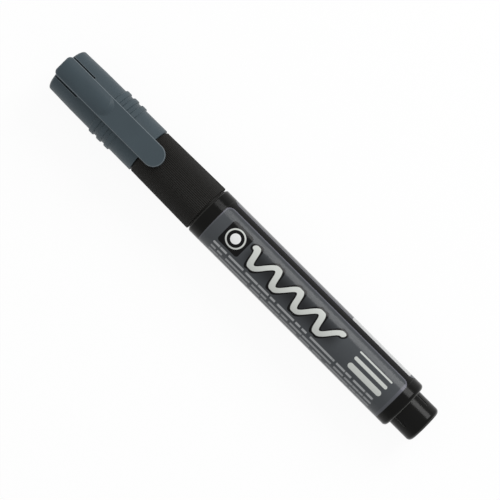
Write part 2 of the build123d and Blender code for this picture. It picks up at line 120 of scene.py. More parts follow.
class NodeGraph:
    """Writes the node tree of one material or world, one socket at a time."""

    EDGE_SAMPLES: ClassVar[int] = 8
    FLAT_TURN: ClassVar[float] = 0.985
    SHARP_TURN: ClassVar[float] = 0.86

    def __init__(self, owner: Union[bpy.types.Material, bpy.types.World]) -> None:
        """Empties the owner's tree and keeps it.

        Args:
            owner: The material or world whose nodes are written.
        """
        owner.use_nodes = True
        self.tree = owner.node_tree
        self.tree.nodes.clear()

    def add(self, kind: str, settings: dict | None = None, inputs: dict | None = None) -> bpy.types.Node:
        """Adds a node.

        Args:
            kind: The node's type name.
            settings: Properties to set on it.
            inputs: Values or sockets for its inputs, by name or number.

        Returns:
            The new node.
        """
        node = self.tree.nodes.new(kind)
        for key, value in (settings or {}).items():
            setattr(node, key, value)
        for key, value in (inputs or {}).items():
            self.feed(node.inputs[key], value)
        return node

    def feed(self, socket: Socket, value: Value) -> None:
        """Links a socket to another, or sets its value.

        Args:
            socket: The input to fill.
            value: An output socket, a number or a list of numbers.
        """
        if isinstance(value, bpy.types.NodeSocket):
            self.tree.links.new(value, socket)
        else:
            socket.default_value = value

    def math(self, operation: str, *values: Value, clamp: bool = False) -> Socket:
        """Adds a sum, product or other operation on numbers.

        Args:
            operation: Blender's name for it.
            values: Its operands.
            clamp: Whether the result is held between 0 and 1.

        Returns:
            The result's socket.
        """
        node = self.add("ShaderNodeMath", {"operation": operation, "use_clamp": clamp})
        for socket, value in zip(node.inputs, values):
            self.feed(socket, value)
        return node.outputs[0]

    def vector_math(self, operation: str, inputs: dict) -> bpy.types.Node:
        """Adds an operation on vectors and returns its node."""
        return self.add("ShaderNodeVectorMath", {"operation": operation}, inputs)

    def hypotenuse(self, *sides: Socket) -> Socket:
        """Gives the length of a step from its two sides."""
        squares = [self.math("MULTIPLY", side, side) for side in sides]
        return self.math("SQRT", self.math("ADD", *squares))

    def mix(self, share: Value, first: Value, second: Value) -> Socket:
        """Mixes two colours.

        Args:
            share: How much of the second colour shows, from 0 to 1.
            first, second: The colours.

        Returns:
            The mixed colour's socket.
        """
        node = self.add("ShaderNodeMix", {"data_type": "RGBA"}, {0: share, 6: first, 7: second})
        return node.outputs[2]

    def tinted(self, colour: Value, share: Socket) -> Socket:
        """Darkens or lightens a colour by a share and returns its socket."""
        return self.vector_math("SCALE", {0: colour, "Scale": share}).outputs[0]

    def fade(self, value: Value, start: float, end: float, low: float = 0.0, high: float = 1.0) -> Socket:
        """Maps a value smoothly from one range to another and holds it there.

        Args:
            value: What is mapped.
            start, end: Where the change begins and ends.
            low, high: The results at those two places.

        Returns:
            The mapped value's socket.
        """
        node = self.add(
            "ShaderNodeMapRange",
            {"interpolation_type": "SMOOTHSTEP", "clamp": True},
            {0: value, 1: start, 2: end, 3: low, 4: high},
        )
        return node.outputs[0]

    def place(self) -> Socket:
        """Gives the point being shaded, in the object's own frame, in metres."""
        return self.add("ShaderNodeTexCoord").outputs["Object"]

    def split(self, vector: Socket) -> Sequence[Socket]:
        """Splits a place or direction into its parts along X, Y and Z."""
        return self.add("ShaderNodeSeparateXYZ", inputs={0: vector}).outputs

    def on_line(self, along: Socket) -> Socket:
        """Gives the place at a distance along a straight line."""
        return self.add("ShaderNodeCombineXYZ", inputs={0: along}).outputs[0]

    def noise(self, vector: Socket, speckle: Speckle) -> Socket:
        """Adds a soft noise.

        Args:
            vector: The place that it is read at.
            speckle: Its sizes, in the place's own unit.

        Returns:
            The noise's socket, from 0 to 1.
        """
        if speckle.stretch:
            vector = self.vector_math("MULTIPLY", {0: vector, 1: speckle.stretch}).outputs[0]
        node = self.add(
            "ShaderNodeTexNoise",
            inputs={
                "Vector": vector,
                "Scale": 1 / speckle.size,
                "Detail": speckle.detail,
                "Roughness": speckle.roughness,
            },
        )
        return node.outputs[0]

    def varied(self, noise: Socket, level: float, swing: float) -> Socket:
        """Lets a level waver with a noise.

        Args:
            noise: The noise, from 0 to 1.
            level: The middle level.
            swing: How far it goes either way.

        Returns:
            The wavering level's socket.
        """
        return self.math("MULTIPLY_ADD", noise, 2 * swing, level - swing)

    def edges(self, width: float) -> Socket:
        """Finds the edges of a piece.

        Args:
            width: How far from an edge the mark reaches, in metres.

        Returns:
            A socket that is 1 on sharp edges and 0 on faces.
        """
        rounded = self.add("ShaderNodeBevel", {"samples": self.EDGE_SAMPLES}, {"Radius": width})
        surface = self.add("ShaderNodeNewGeometry")
        turn = self.vector_math("DOT_PRODUCT", {0: rounded.outputs[0], 1: surface.outputs["Normal"]})
        return self.fade(turn.outputs["Value"], self.FLAT_TURN, self.SHARP_TURN)

    def bump(self, height: Socket, depth: float) -> Socket:
        """Turns a height into a bumped normal.

        Args:
            height: The height, from 0 to 1.
            depth: The real height of 1, in metres.

        Returns:
            The normal's socket.
        """
        node = self.add("ShaderNodeBump", inputs={"Strength": 1.0, "Distance": depth, "Height": height})
        return node.outputs[0]

    def surface(self, inputs: dict) -> None:
        """Adds the shader, with values or sockets for its inputs by name, and the tree's output."""
        shader = self.add("ShaderNodeBsdfPrincipled", inputs=inputs)
        self.add("ShaderNodeOutputMaterial", inputs={"Surface": shader.outputs[0]})


@dataclass(frozen=True)
class WornAndGlintRing:
    """A pale line round a rounded edge: partly rubbed wear, partly painted highlight. In millimetres from the
    tail end.
    """

    station: float
    width: float
    share: float


@dataclass(frozen=True)
class MouldedPlastic:
    """A moulded plastic with fine grain, faint mottling, handling marks and paler edges, partly rubbed wear
    and partly painted highlight.
    """

    name: str
    colour: Colour
    roughness: float
    gloss: float
    mottle: float = 0.10
    flow: Speckle = Speckle(6.0 * MM, 3.0)
    grain: Speckle = Speckle(0.16 * MM, 3.0, 0.6)
    grain_depth: float = 0.004 * MM
    scuffs: Speckle = Speckle(1.1 * MM, 5.0, 0.65, (0.35, 1.0, 1.0))
    scuffing: float = 0.05
    scuff_range: tuple[float, float] = (0.3, 0.75)
    least_edge_wear_and_glint: float = 0.35
    # Paler edges: partly rubbed wear, partly painted highlight where rounded edges catch light.
    edge_wear_and_glint_colour: Colour = srgb(120, 124, 128)
    edge_width: float = 0.14 * MM
    edge_wear_and_glint_share: float = 0.3
    rim_wear_and_glint_share: float = 0.0
    worn_and_glint_rings: tuple[WornAndGlintRing, ...] = ()

    def wear_and_glints(self, graph: NodeGraph, place: Socket, scuffs: Socket) -> Socket:
        """Finds where the piece is painted pale: edges and rims rubbed by handling, also standing in for the
        highlights that rounded edges catch.

        Args:
            graph: Where the nodes are written.
            place: The point being shaded.
            scuffs: The noise of the handling marks.

        Returns:
            A socket from 0, untouched, to 1, rubbed pale or painted as a highlight.
        """
        # Pale edges: partly rubbed wear, partly painted highlight.
        sharp = graph.math("MULTIPLY", graph.edges(self.edge_width), self.edge_wear_and_glint_share)
        wear_and_glint = graph.math("MULTIPLY", sharp, graph.fade(scuffs, *self.scuff_range, self.least_edge_wear_and_glint))
        # The clip's pale rims: partly wear, partly painted highlight.
        if self.rim_wear_and_glint_share:
            rim = graph.add("ShaderNodeAttribute", {"attribute_name": RIM_WEAR_AND_GLINT}).outputs["Fac"]
            wear_and_glint = graph.math("MAXIMUM", wear_and_glint, graph.math("MULTIPLY", rim, self.rim_wear_and_glint_share))
        # Pale rings on rounded edges: partly rubbed wear, partly painted highlight.
        for ring in self.worn_and_glint_rings:
            along = graph.math("SUBTRACT", graph.split(place)[0], TAIL_X + ring.station * MM)
            off = graph.math("ABSOLUTE", along)
            line = graph.fade(off, ring.width / 2 * MM, 0.0, high=ring.share)
            wear_and_glint = graph.math("MAXIMUM", wear_and_glint, line)
        return wear_and_glint

    def write(self, graph: NodeGraph) -> None:
        """Writes the finish.

        Args:
            graph: Where the nodes are written.
        """
        place = graph.place()
        shade = graph.varied(graph.noise(place, self.flow), 1.0, self.mottle)
        body = graph.tinted(self.colour[:3], shade)
        scuffs = graph.noise(place, self.scuffs)
        graph.surface(
            {
                "Base Color": graph.mix(self.wear_and_glints(graph, place, scuffs), body, self.edge_wear_and_glint_colour),
                "Roughness": graph.varied(scuffs, self.roughness, self.scuffing),
                "Specular IOR Level": self.gloss,
                "Normal": graph.bump(graph.noise(place, self.grain), self.grain_depth),
            }
        )


@dataclass(frozen=True)
class PressedFibre:
    """The nib's felted fibre, with strands along its length and a faint stain of paint at its tip."""

    name: str
    colour: Colour
    strand_colour: Colour
    stain_colour: Colour
    stain_start: float
    stain_end: float
    stain_share: float = 0.85
    strands: Speckle = Speckle(0.09 * MM, 4.0, 0.6, (0.04, 1.0, 1.0))
    strand_range: tuple[float, float] = (0.3, 0.7)
    strand_rise: float = 0.6
    felt: Speckle = Speckle(0.063 * MM, 5.0, 0.7)
    felt_rise: float = 0.4
    felt_depth: float = 0.03 * MM
    roughness: float = 0.85
    roughness_swing: float = 0.1
    gloss: float = 0.15
    sheen: float = 0.25
    sheen_roughness: float = 0.5

    def write(self, graph: NodeGraph) -> None:
        """Writes the finish.

        Args:
            graph: Where the nodes are written.
        """
        place = graph.place()
        strands = graph.noise(place, self.strands)
        felt = graph.noise(place, self.felt)
        stain_run = self.stain_end - self.stain_start
        wander = graph.math("MULTIPLY_ADD", felt, stain_run, graph.split(place)[0])
        stain = graph.fade(wander, self.stain_start, self.stain_end, high=self.stain_share)
        body = graph.mix(graph.fade(strands, *self.strand_range), self.strand_colour, self.colour)
        strand_height = graph.math("MULTIPLY", strands, self.strand_rise)
        felt_height = graph.math("MULTIPLY", felt, self.felt_rise)
        graph.surface(
            {
                "Base Color": graph.mix(stain, body, self.stain_colour),
                "Roughness": graph.varied(felt, self.roughness, self.roughness_swing),
                "Specular IOR Level": self.gloss,
                "Sheen Weight": self.sheen,
                "Sheen Roughness": self.sheen_roughness,
                "Normal": graph.bump(graph.math("ADD", strand_height, felt_height), self.felt_depth),
            }
        )


@dataclass(frozen=True)
class BrightSteel:
    """Steel with drawing or polishing marks along one direction."""

    name: str
    colour: Colour
    roughness: float
    marks: Speckle
    mark_depth: float = 0.002 * MM
    shade_swing: float = 0.08
    roughness_swing: float = 0.06

    def write(self, graph: NodeGraph) -> None:
        """Writes the finish.

        Args:
            graph: Where the nodes are written.
        """
        marks = graph.noise(graph.place(), self.marks)
        shade = graph.varied(marks, 1.0, self.shade_swing)
        graph.surface(
            {
                "Base Color": graph.tinted(self.colour[:3], shade),
                "Metallic": 1.0,
                "Roughness": graph.varied(marks, self.roughness, self.roughness_swing),
                "Normal": graph.bump(marks, self.mark_depth),
            }
        )


@dataclass(frozen=True)
class SoftRubber:
    """Matt rubber with a dusty bloom."""

    name: str
    colour: Colour
    bloom_colour: Colour
    bloom: Speckle = Speckle(0.8 * MM, 4.0, 0.6)
    bloom_range: tuple[float, float] = (0.45, 0.8)
    bloom_share: float = 0.4
    pores: Speckle = Speckle(0.08 * MM)
    pore_depth: float = 0.006 * MM
    roughness: float = 0.75
    roughness_swing: float = 0.1
    gloss: float = 0.3

    def write(self, graph: NodeGraph) -> None:
        """Writes the finish.

        Args:
            graph: Where the nodes are written.
        """
        place = graph.place()
        bloom = graph.noise(place, self.bloom)
        dust = graph.fade(bloom, *self.bloom_range, high=self.bloom_share)
        graph.surface(
            {
                "Base Color": graph.mix(dust, self.colour, self.bloom_colour),
                "Roughness": graph.varied(bloom, self.roughness, self.roughness_swing),
                "Specular IOR Level": self.gloss,
                "Normal": graph.bump(graph.noise(place, self.pores), self.pore_depth),
            }
        )


class PrintLayer:
    """Draws flat shapes on the label's unrolled face, in millimetres from its front and upper edges."""

    SOFT_EDGE: ClassVar[float] = 0.05

    def __init__(self, graph: NodeGraph, along: Socket, down: Socket) -> None:
        """Keeps the graph and the two directions.

        Args:
            graph: Where the nodes are written.
            along: The distance from the label's front edge.
            down: The distance round the barrel from the label's upper edge.
        """
        self.graph = graph
        self.along = along
        self.down = down

    def inside(self, distance: Socket) -> Socket:
        """Turns a signed distance, negative inside a shape, into a mask that is 1 inside."""
        return self.graph.fade(distance, self.SOFT_EDGE, -self.SOFT_EDGE)

    def steps(self, middle: Sequence[float]) -> list[Socket]:
        """Measures how far along and down a place lies from a point."""
        places = (self.along, self.down)
        return [self.graph.math("SUBTRACT", place, centre) for place, centre in zip(places, middle)]

    def box_distance(self, middle: Sequence[float], size: Sequence[float], corner: float) -> Socket:
        """Measures the distance to a box with round corners.

        Args:
            middle: The box's middle, along and down.
            size: Its length and height.
            corner: The radius of its corners.

        Returns:
            The signed distance's socket.
        """
        graph = self.graph
        over = []
        for step, extent in zip(self.steps(middle), size):
            reach = graph.math("ABSOLUTE", step)
            over.append(graph.math("SUBTRACT", reach, extent / 2 - corner))
        outside = graph.hypotenuse(*[graph.math("MAXIMUM", value, 0.0) for value in over])
        within = graph.math("MINIMUM", graph.math("MAXIMUM", *over), 0.0)
        return graph.math("SUBTRACT", graph.math("ADD", outside, within), corner)

    def box(self, middle: Sequence[float], size: Sequence[float], corner: float) -> Socket:
        """Draws a filled box with round corners and returns its mask."""
        return self.inside(self.box_distance(middle, size, corner))

    def disc(self, middle: Sequence[float], radius: float) -> Socket:
        """Draws a filled disc and returns its mask."""
        distance = self.graph.hypotenuse(*self.steps(middle))
        return self.inside(self.graph.math("SUBTRACT", distance, radius))

    def ring(self, middle: Sequence[float], radius: float, width: float) -> Socket:
        """Draws a ring.

        Args:
            middle: The ring's middle, along and down.
            radius: The radius of its line.
            width: The line's width.

        Returns:
            The mask's socket.
        """
        distance = self.graph.hypotenuse(*self.steps(middle))
        off = self.graph.math("ABSOLUTE", self.graph.math("SUBTRACT", distance, radius))
        return self.inside(self.graph.math("SUBTRACT", off, width / 2))


@dataclass(frozen=True)
class LabelFilm:
    """The charcoal label film with a plain generic print: a drawn wave, a badge, bars and fine rules.

    Places and sizes of the print are in millimetres on the unrolled film.
    """

    name: str = "label_film"
    barrel_radius: float = 7.5
    front_station: float = 79.14
    length: float = 67.96
    upper_edge_angle: float = 43.3
    gap_angle: float = 18.6
    corner: float = 2.0
    field: Colour = srgb(72, 75, 78)
    border: Colour = srgb(105, 105, 114)
    dark: Colour = srgb(14, 14, 15)
    silver: Colour = srgb(200, 203, 199)
    white: Colour = srgb(232, 233, 233)
    fine: Colour = srgb(164, 166, 167)
    strip: Colour = srgb(98, 99, 101)
    strip_white: Colour = srgb(182, 183, 183)
    border_width: float = 0.34
    rear_border_width: float = 0.85
    border_soft: float = 0.06
    border_share: float = 0.9
    upright_fade_from: float = 2.0
    upright_fade_to: float = 6.0
    upright_share: float = 0.3
    stroke_start: float = 14.35
    stroke_end: float = 47.15
    stroke_middle: float = 6.1
    stroke_swing: float = 2.3
    stroke_wave: float = 8.2
    stroke_slant: float = 0.3
    stroke_half_width: float = 0.82
    stroke_outline: float = 0.55
    press: Speckle = Speckle(5.0, 1.0)
    press_swing: float = 0.15
    halo_height: float = 5.0
    halo_share: float = 0.75
    badge_middle: tuple[float, float] = (7.6, 6.0)
    badge_size: float = 7.4
    badge_corner: float = 0.9
    dot_share: float = 0.2
    ring_share: float = 0.36
    ring_width: float = 0.45
    bar_start: float = 52.5
    bar_length: float = 12.0
    bar_places: tuple[float, ...] = (3.7, 5.8, 8.3)
    bar_heights: tuple[float, ...] = (0.5, 1.0, 1.7)
    rule_places: tuple[float, ...] = (10.9, 12.6, 14.3, 16.0)
    rule_shares: tuple[float, ...] = (1.0, 0.7, 0.5, 0.4)
    rule_height: float = 0.75
    rule_margin: float = 3.6
    rule_breaks: Speckle = Speckle(2.4, 1.0)
    break_range: tuple[float, float] = (0.40, 0.44)
    row_shift: float = 31.0
    strip_width: float = 5.0
    strip_white_from: float = 44.9
    strip_end: float = 1.3
    strip_margin: float = 0.1
    strip_corner: float = 0.4
    roughness: float = 0.155
    gloss: float = 0.118
    haze: Speckle = Speckle(2.2 * MM, 5.0, 0.6, (0.4, 1.0, 1.0))
    haze_tint: float = 0.06
    haze_roughness: float = 0.03
    web: Speckle = Speckle(0.5 * MM, 3.0)
    web_depth: float = 0.0006 * MM

    @property
    def height(self) -> float:
        """How far the label reaches round the barrel, in millimetres."""
        return math.radians(360 - self.gap_angle) * self.barrel_radius

    def unrolled(self, graph: NodeGraph) -> PrintLayer:
        """Unrolls the barrel's round face.

        Args:
            graph: Where the nodes are written.

        Returns:
            A layer to draw on.
        """
        split = graph.split(graph.place())
        station = graph.math("DIVIDE", graph.math("SUBTRACT", split[0], TAIL_X), MM)
        along = graph.math("SUBTRACT", self.front_station, station)
        upward = graph.math("SUBTRACT", split[2], AXIS_Z)
        angle = graph.math("ARCTAN2", graph.math("MULTIPLY", split[1], -1.0), upward)
        turn = graph.math("SUBTRACT", math.radians(self.upper_edge_angle), angle)
        around = graph.math("FLOORED_MODULO", turn, 2 * math.pi)
        return PrintLayer(graph, along, graph.math("MULTIPLY", around, self.barrel_radius))

    def wave(self, layer: PrintLayer) -> tuple[Socket, Socket]:
        """Draws the slanted, wavy stroke of a marker.

        Args:
            layer: Where it is drawn.

        Returns:
            The masks of the stroke and of its dark outline.
        """
        graph = layer.graph
        lean = graph.math("MULTIPLY_ADD", layer.down, self.stroke_slant, layer.along)
        held = graph.math("MINIMUM", graph.math("MAXIMUM", lean, self.stroke_start), self.stroke_end)
        phase = graph.math("MULTIPLY", held, 2 * math.pi / self.stroke_wave)
        swing = graph.math("MULTIPLY", graph.math("SINE", phase), self.stroke_swing)
        steep = 2 * math.pi * self.stroke_swing / self.stroke_wave
        slope = graph.math("MULTIPLY", graph.math("COSINE", phase), steep)
        off = graph.math("SUBTRACT", graph.math("SUBTRACT", layer.down, self.stroke_middle), swing)
        stretch = graph.math("SQRT", graph.math("MULTIPLY_ADD", slope, slope, 1.0))
        distance = graph.math("DIVIDE", graph.math("ABSOLUTE", off), stretch)
        reach = graph.hypotenuse(distance, graph.math("SUBTRACT", lean, held))
        press = graph.noise(graph.on_line(layer.along), self.press)
        half_width = graph.varied(press, self.stroke_half_width, self.press_swing)
        body = graph.math("SUBTRACT", reach, half_width)
        return layer.inside(body), layer.inside(graph.math("SUBTRACT", body, self.stroke_outline))

    def halo(self, layer: PrintLayer) -> Socket:
        """Draws the soft dark ground behind the stroke.

        Args:
            layer: Where it is drawn.

        Returns:
            The mask's socket.
        """
        length = self.stroke_end - self.stroke_start
        soft = self.halo_height / 2
        lean = self.stroke_slant * self.stroke_middle
        middle = (self.stroke_start + length / 2 - lean, self.stroke_middle)
        ground = layer.box_distance(middle, (length, self.halo_height), soft)
        return layer.graph.fade(ground, soft, -soft, high=self.halo_share)

    def rules(self, layer: PrintLayer) -> Socket:
        """Draws rows of fine broken rules.

        Args:
            layer: Where they are drawn.

        Returns:
            The mask's socket.
        """
        graph = layer.graph
        size = (self.length - 2 * self.rule_margin, self.rule_height)
        marks: Value = 0.0
        for row, (place, share) in enumerate(zip(self.rule_places, self.rule_shares)):
            line = layer.box((self.length / 2, place), size, self.rule_height / 2)
            shift = graph.math("ADD", layer.along, self.row_shift * (row + 1))
            breaks = graph.noise(graph.on_line(shift), self.rule_breaks)
            dashes = graph.math("MULTIPLY", line, graph.fade(breaks, *self.break_range, high=share))
            marks = graph.math("MAXIMUM", marks, dashes)
        return marks

    def strips(self, layer: PrintLayer) -> tuple[Socket, Socket]:
        """Draws the plain strip along the lower edge.

        Args:
            layer: Where it is drawn.

        Returns:
            The masks of the whole strip and of its white part.
        """
        middle = (self.length / 2, self.height - self.border_width - self.strip_width / 2)
        size = (self.length - 2 * self.strip_end, self.strip_width)
        white_length = self.length - self.strip_end - self.strip_white_from
        white_width = self.strip_width + self.border_width - self.strip_margin
        white_middle = (
            self.strip_white_from + white_length / 2,
            self.height - self.strip_margin - white_width / 2,
        )
        white_part = layer.box(white_middle, (white_length, white_width), self.strip_corner)
        return layer.box(middle, size, self.strip_corner), white_part

    def border_line(self, layer: PrintLayer) -> Socket:
        """Draws the pale line round the film, which is fainter down its two ends.

        Args:
            layer: Where it is drawn.

        Returns:
            The mask's socket.
        """
        graph = layer.graph
        middle = (self.length / 2, self.height / 2)
        edge = layer.box_distance(middle, (self.length, self.height), self.corner)
        rim = graph.fade(edge, -self.border_width - self.border_soft, -self.border_width + self.border_soft)
        rear_start = self.length - self.rear_border_width
        rear = graph.fade(layer.along, rear_start - self.border_soft, rear_start + self.border_soft)
        upper = graph.fade(layer.down, self.upright_fade_from, self.upright_fade_to, 1.0, self.upright_share)
        lower_line = self.height - self.border_width
        lower = graph.fade(layer.down, lower_line - self.border_width, lower_line)
        lines = graph.math("MAXIMUM", rim, rear)
        shown = graph.math("MULTIPLY", lines, graph.math("MAXIMUM", upper, lower))
        return graph.math("MULTIPLY", shown, self.border_share)

    def artwork(self, layer: PrintLayer) -> Socket:
        """Lays the inks over the film, one after another.

        Args:
            layer: Where they are drawn.

        Returns:
            The printed colour's socket.
        """
        stroke, outline = self.wave(layer)
        strip, white_part = self.strips(layer)
        bar_middle = self.bar_start + self.bar_length / 2
        bars = [
            layer.box((bar_middle, place), (self.bar_length, height), height / 2)
            for place, height in zip(self.bar_places, self.bar_heights)
        ]
        inks = [
            (self.halo(layer), self.dark),
            (strip, self.strip),
            (outline, self.dark),
            (stroke, self.silver),
            (layer.box(self.badge_middle, (self.badge_size, self.badge_size), self.badge_corner), self.dark),
            (layer.disc(self.badge_middle, self.dot_share * self.badge_size), self.white),
            (layer.ring(self.badge_middle, self.ring_share * self.badge_size, self.ring_width), self.silver),
            *[(bar, self.silver) for bar in bars],
            (self.rules(layer), self.fine),
            (self.border_line(layer), self.border),
            (white_part, self.strip_white),
        ]
        colour: Value = self.field
        for mask, ink in inks:
            colour = layer.graph.mix(mask, colour, ink)
        return colour

    def write(self, graph: NodeGraph) -> None:
        """Writes the finish.

        Args:
            graph: Where the nodes are written.
        """
        printed = self.artwork(self.unrolled(graph))
        place = graph.place()
        haze = graph.noise(place, self.haze)
        graph.surface(
            {
                "Base Color": graph.tinted(printed, graph.varied(haze, 1.0, self.haze_tint)),
                "Roughness": graph.varied(haze, self.roughness, self.haze_roughness),
                "Specular IOR Level": self.gloss,
                "Normal": graph.bump(graph.noise(place, self.web), self.web_depth),
            }
        )


class Finish(Enum):
    """The finishes that the marker's pieces take, each made once."""

    # Its pale edges and the clip's pale rims are partly rubbed wear and partly painted highlight.
    CAP = MouldedPlastic(
        "cap_plastic",
        srgb(64, 75, 81),
        roughness=0.44,
        gloss=0.15,
        edge_wear_and_glint_colour=srgb(170, 177, 182),
        edge_width=0.3 * MM,
        edge_wear_and_glint_share=0.4,
        rim_wear_and_glint_share=0.4,
    )
    LINER = MouldedPlastic(
        "liner_plastic",
        srgb(214, 214, 209),
        roughness=0.42,
        gloss=0.35,
        mottle=0.04,
        edge_wear_and_glint_share=0.0,
    )
    GRIP = MouldedPlastic(
        "grip_plastic",
        srgb(27, 26, 24),
        roughness=0.5,
        gloss=0.16,
        edge_wear_and_glint_colour=srgb(70, 68, 66),
    )
    BARREL = MouldedPlastic(
        "barrel_plastic",
        srgb(18, 18, 17),
        roughness=0.17,
        gloss=0.088,
        grain_depth=0.0012 * MM,
        edge_wear_and_glint_colour=srgb(104, 104, 102),
        # Pale rings at the rear shoulder and the front lip: partly rubbed wear, partly painted highlight.
        worn_and_glint_rings=(WornAndGlintRing(7.72, 0.5, 0.7), WornAndGlintRing(82.83, 0.5, 0.25)),
    )
    PLUG = MouldedPlastic(
        "plug_plastic",
        srgb(18, 18, 17),
        roughness=0.2,
        gloss=0.105,
        grain_depth=0.002 * MM,
        edge_wear_and_glint_colour=srgb(104, 104, 102),
        # Pale ring at the rounded tail end: partly wear, partly painted reflection of the bright
        # surroundings.
        worn_and_glint_rings=(WornAndGlintRing(0.42, 0.4, 0.3),),
    )
    VALVE = MouldedPlastic(
        "valve_plastic",
        srgb(212, 212, 206),
        roughness=0.4,
        gloss=0.35,
        mottle=0.04,
        edge_wear_and_glint_share=0.0,
    )
    LABEL = LabelFilm()
    NIB = PressedFibre(
        "nib_fibre",
        srgb(226, 224, 216),
        strand_colour=srgb(190, 187, 177),
        stain_colour=srgb(44, 46, 50),
        stain_start=56.86 * MM,
        stain_end=59.86 * MM,
    )
    SEAL = SoftRubber("seal_rubber", srgb(42, 42, 41), bloom_colour=srgb(90, 90, 88))
    SPRING = BrightSteel(
        "spring_steel",
        srgb(196, 197, 199),
        roughness=0.26,
        marks=Speckle(0.25 * MM, 5.0, 0.65, (0.2, 1.0, 1.0)),
    )
    BALL = BrightSteel(
        "ball_steel",
        srgb(204, 205, 207),
        roughness=0.12,
        marks=Speckle(0.4 * MM, 5.0, 0.65, (1.0, 0.5, 1.0)),
    )

    def apply(self, *objects: bpy.types.Object) -> None:
        """Gives the finish to some pieces.

        Args:
            objects: The pieces, each of which then has this one material.
        """
        name = f"{self.value.name}_finish"
        material = bpy.data.materials.get(name)
        if material is None:
            material = bpy.data.materials.new(name)
            self.value.write(NodeGraph(material))
        for piece in objects:
            piece.data.materials.clear()
            piece.data.materials.append(material)


def dress_nodes(finish: Finish, *names: str) -> None:
    """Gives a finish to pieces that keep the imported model's shape.

    Args:
        finish: The finish.
        names: The pieces' node names.
    """
    for name in names:
        finish.apply(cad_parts[name])
        LOG.info("%s: %s", name, finish.value.name)


def add_mesh(name: str, form: bmesh.types.BMesh) -> bpy.types.Object:
    """Turns a drafted form into an object of the scene.

    Args:
        name: The object's name.
        form: The drafted form, which is freed.

    Returns:
        The new object.
    """
    mesh = bpy.data.meshes.new(name)
    form.to_mesh(mesh)
    form.free()
    piece = bpy.data.objects.new(name, mesh)
    bpy.context.scene.collection.objects.link(piece)
    return piece


def join_rings(form: bmesh.types.BMesh, pairs: Sequence[Sequence[Sequence[bmesh.types.BMVert]]]) -> None:
    """Skins the space between pairs of rings of points with four-sided faces.

    Args:
        form: The drafted form that holds the points.
        pairs: The pairs of neighbouring rings, all with the same number of points.
    """
    for first, second in pairs:
        for step in range(len(first)):
            after = (step + 1) % len(first)
            form.faces.new((first[step], first[after], second[after], second[step]))


def soften(form: bmesh.types.BMesh, crease_angle: float) -> None:
    """Shades a form smooth, apart from its creases.

    Args:
        form: The drafted form.
        crease_angle: The turn from which an edge stays sharp, in degrees.
    """
    for face in form.faces:
        face.smooth = True
    for edge in form.edges:
        edge.smooth = edge.calc_face_angle(0.0) < math.radians(crease_angle)


def turned(
    rings: Sequence[Ring],
    steps: int,
    radius_at: Callable[[int, float, float], float],
) -> bmesh.types.BMesh:
    """Turns a closed outline about the marker's axis.

    Args:
        rings: The outline's stations and radii, in order, in metres.
        steps: The number of steps round the axis.
        radius_at: Gives the radius of a ring at an angle from its number, its radius and the angle.

    Returns:
        The turned form.
    """
    form = bmesh.new()
    loops = []
    for number, (station, radius) in enumerate(rings):
        loop = []
        for step in range(steps):
            angle = 2 * math.pi * step / steps
            reach = radius_at(number, radius, angle)
            place = (TAIL_X + station, -reach * math.sin(angle), AXIS_Z + reach * math.cos(angle))
            loop.append(form.verts.new(place))
        loops.append(loop)
    join_rings(form, list(zip(loops, loops[1:] + loops[:1])))
    bmesh.ops.recalc_face_normals(form, faces=form.faces)
    return form


@dataclass
class Cap:
    """The outer cap with its rings and slits, and the liner that seals on the nose."""

    shell: str = "cap_shell"
    liner: str = "inner_cap"

    def dress(self) -> None:
        """Gives the cap and its liner their finishes."""
        dress_nodes(Finish.CAP, self.shell)
        dress_nodes(Finish.LINER, self.liner)


@dataclass
class PocketClip:
    """The pocket clip as one springy moulding, from its root on the cap to its free tip."""

    root: str = "clip_root"
    arm: str = "clip_arm"
    plate_top: float = 9.5 * MM
    edge_round: float = 0.3 * MM
    rim_middle: float = 0.65
    crease_angle: float = 12.0
    bend_length: float = 5.0 * MM
    bend_cuts: int = 10
    seam_reach: float = 0.002 * MM

    def mark_rim_wear_and_glints(self, form: bmesh.types.BMesh) -> None:
        """Marks the plate's rounded upper edges to be painted pale: partly rubbed wear, partly painted
        highlight.

        Args:
            form: The clip's drafted form.
        """
        mark = form.verts.layers.float.new(RIM_WEAR_AND_GLINT)
        for vertex in form.verts:
            height = vertex.co.z - AXIS_Z - (self.plate_top - self.edge_round)
            off = abs(height / self.edge_round - self.rim_middle) / (1 - self.rim_middle)
            vertex[mark] = max(1 - off, 0.0)

    def draft(self, seam: float) -> bmesh.types.BMesh:
        """Joins the clip's two lengths and cuts them finely where they bend.

        Args:
            seam: Where the two lengths meet, along X.

        Returns:
            The joined form.
        """
        form = bmesh.new()
        for name in (self.root, self.arm):
            form.from_mesh(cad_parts[name].data)
        bmesh.ops.remove_doubles(form, verts=form.verts, dist=self.seam_reach)
        inner = [face for face in form.faces if all(abs(v.co.x - seam) < self.seam_reach for v in face.verts)]
        bmesh.ops.delete(form, geom=inner, context="FACES")
        bmesh.ops.remove_doubles(form, verts=form.verts, dist=self.seam_reach)
        for cut in range(self.bend_cuts + 1):
            place = seam + self.bend_length * (cut / self.bend_cuts - 0.5)
            bmesh.ops.bisect_plane(
                form,
                geom=form.verts[:] + form.edges[:] + form.faces[:],
                plane_co=(place, 0, 0),
                plane_no=(1, 0, 0),
            )
        return form

    def build(self) -> bpy.types.Object:
        """Makes the clip as one skin, cut finely at its root where the real clip bends.

        Returns:
            The clip's skin.
        """
        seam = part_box(self.root)[0].x
        form = self.draft(seam)
        soften(form, self.crease_angle)
        # Stores the pale rims, partly wear and partly painted highlight, as a mask for the cap finish.
        self.mark_rim_wear_and_glints(form)
        skin = add_mesh("clip_skin", form)
        weighting = skin.modifiers.new("face_weighting", "WEIGHTED_NORMAL")
        weighting.keep_sharp = True
        Finish.CAP.apply(skin)
        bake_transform(skin)
        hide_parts(self.root, self.arm)
        LOG.info("clip_skin: %s", Finish.CAP.value.name)
        return skin


